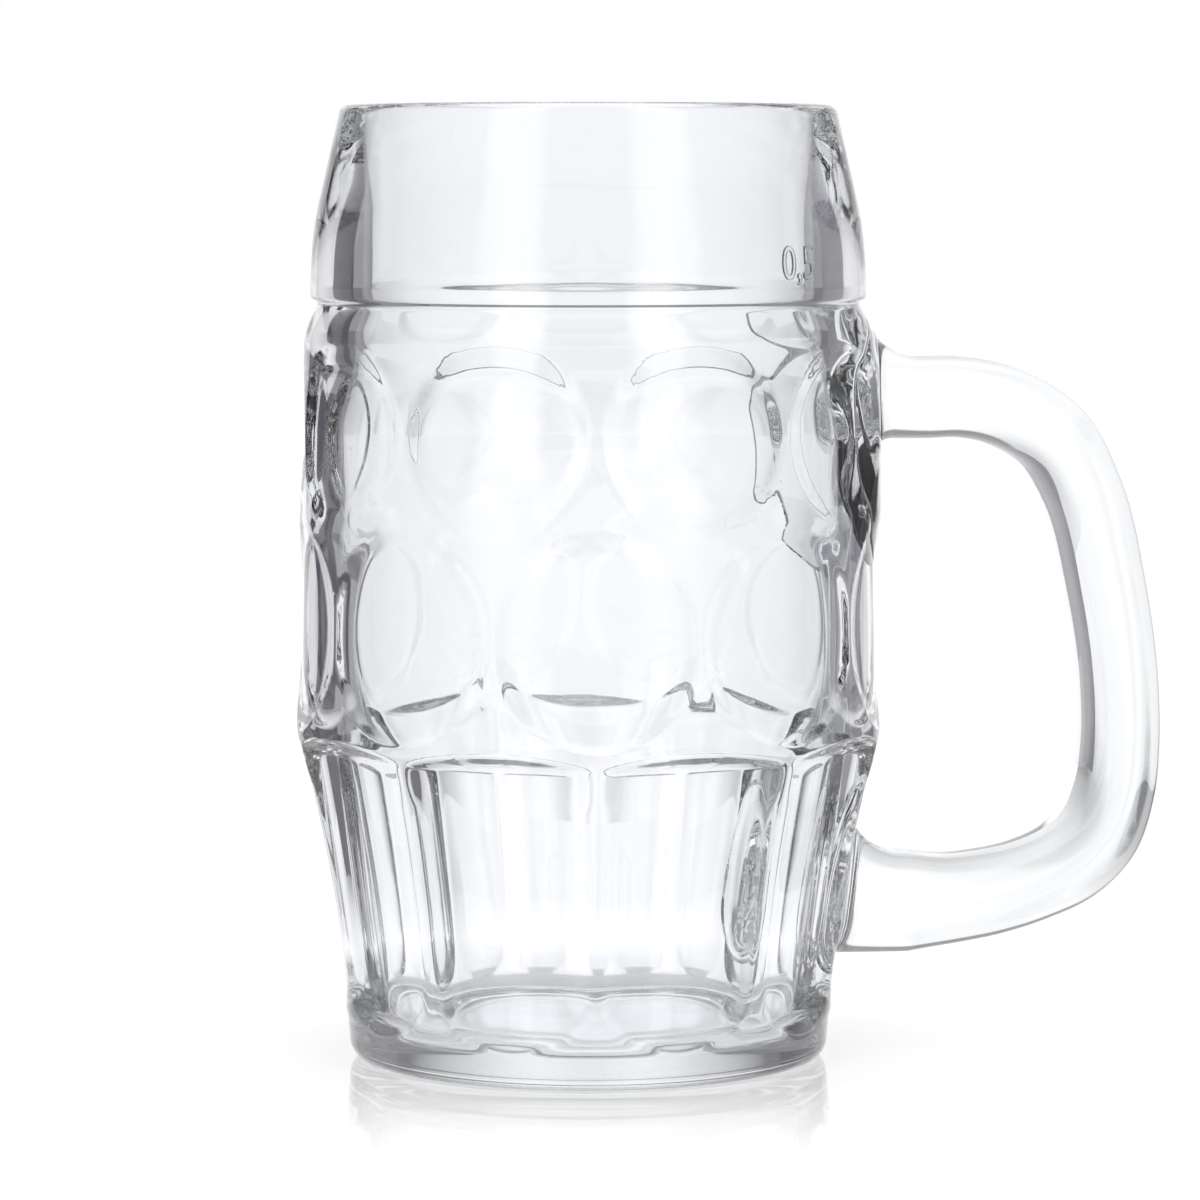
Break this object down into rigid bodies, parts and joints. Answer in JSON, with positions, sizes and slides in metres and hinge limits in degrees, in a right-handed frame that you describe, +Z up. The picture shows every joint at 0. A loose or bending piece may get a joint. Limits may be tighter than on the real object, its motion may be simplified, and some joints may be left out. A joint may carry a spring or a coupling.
{
  "type": "beer mug",
  "caption": "Clear glass beer mug with a tapered rim band, staggered round dimples over a fluted skirt, and a solid D handle, for holding and drinking beer.",
  "frame": {"origin": "middle of the flat underside, on the mug's axis, at table height", "axes": "+Z up along the mug's axis, +X towards the handle, +Y by the right-hand rule"},
  "size_m": [0.1423, 0.094, 0.153],
  "materials": {
    "body_glass": "clear pressed soda-lime glass, fire-polished",
    "handle_glass": "clear solid soda-lime glass, fire-polished"
  },
  "bodies": {
    "root": {"glass_body": "body_glass", "handle": "handle_glass"}
  },
  "joints": []
}
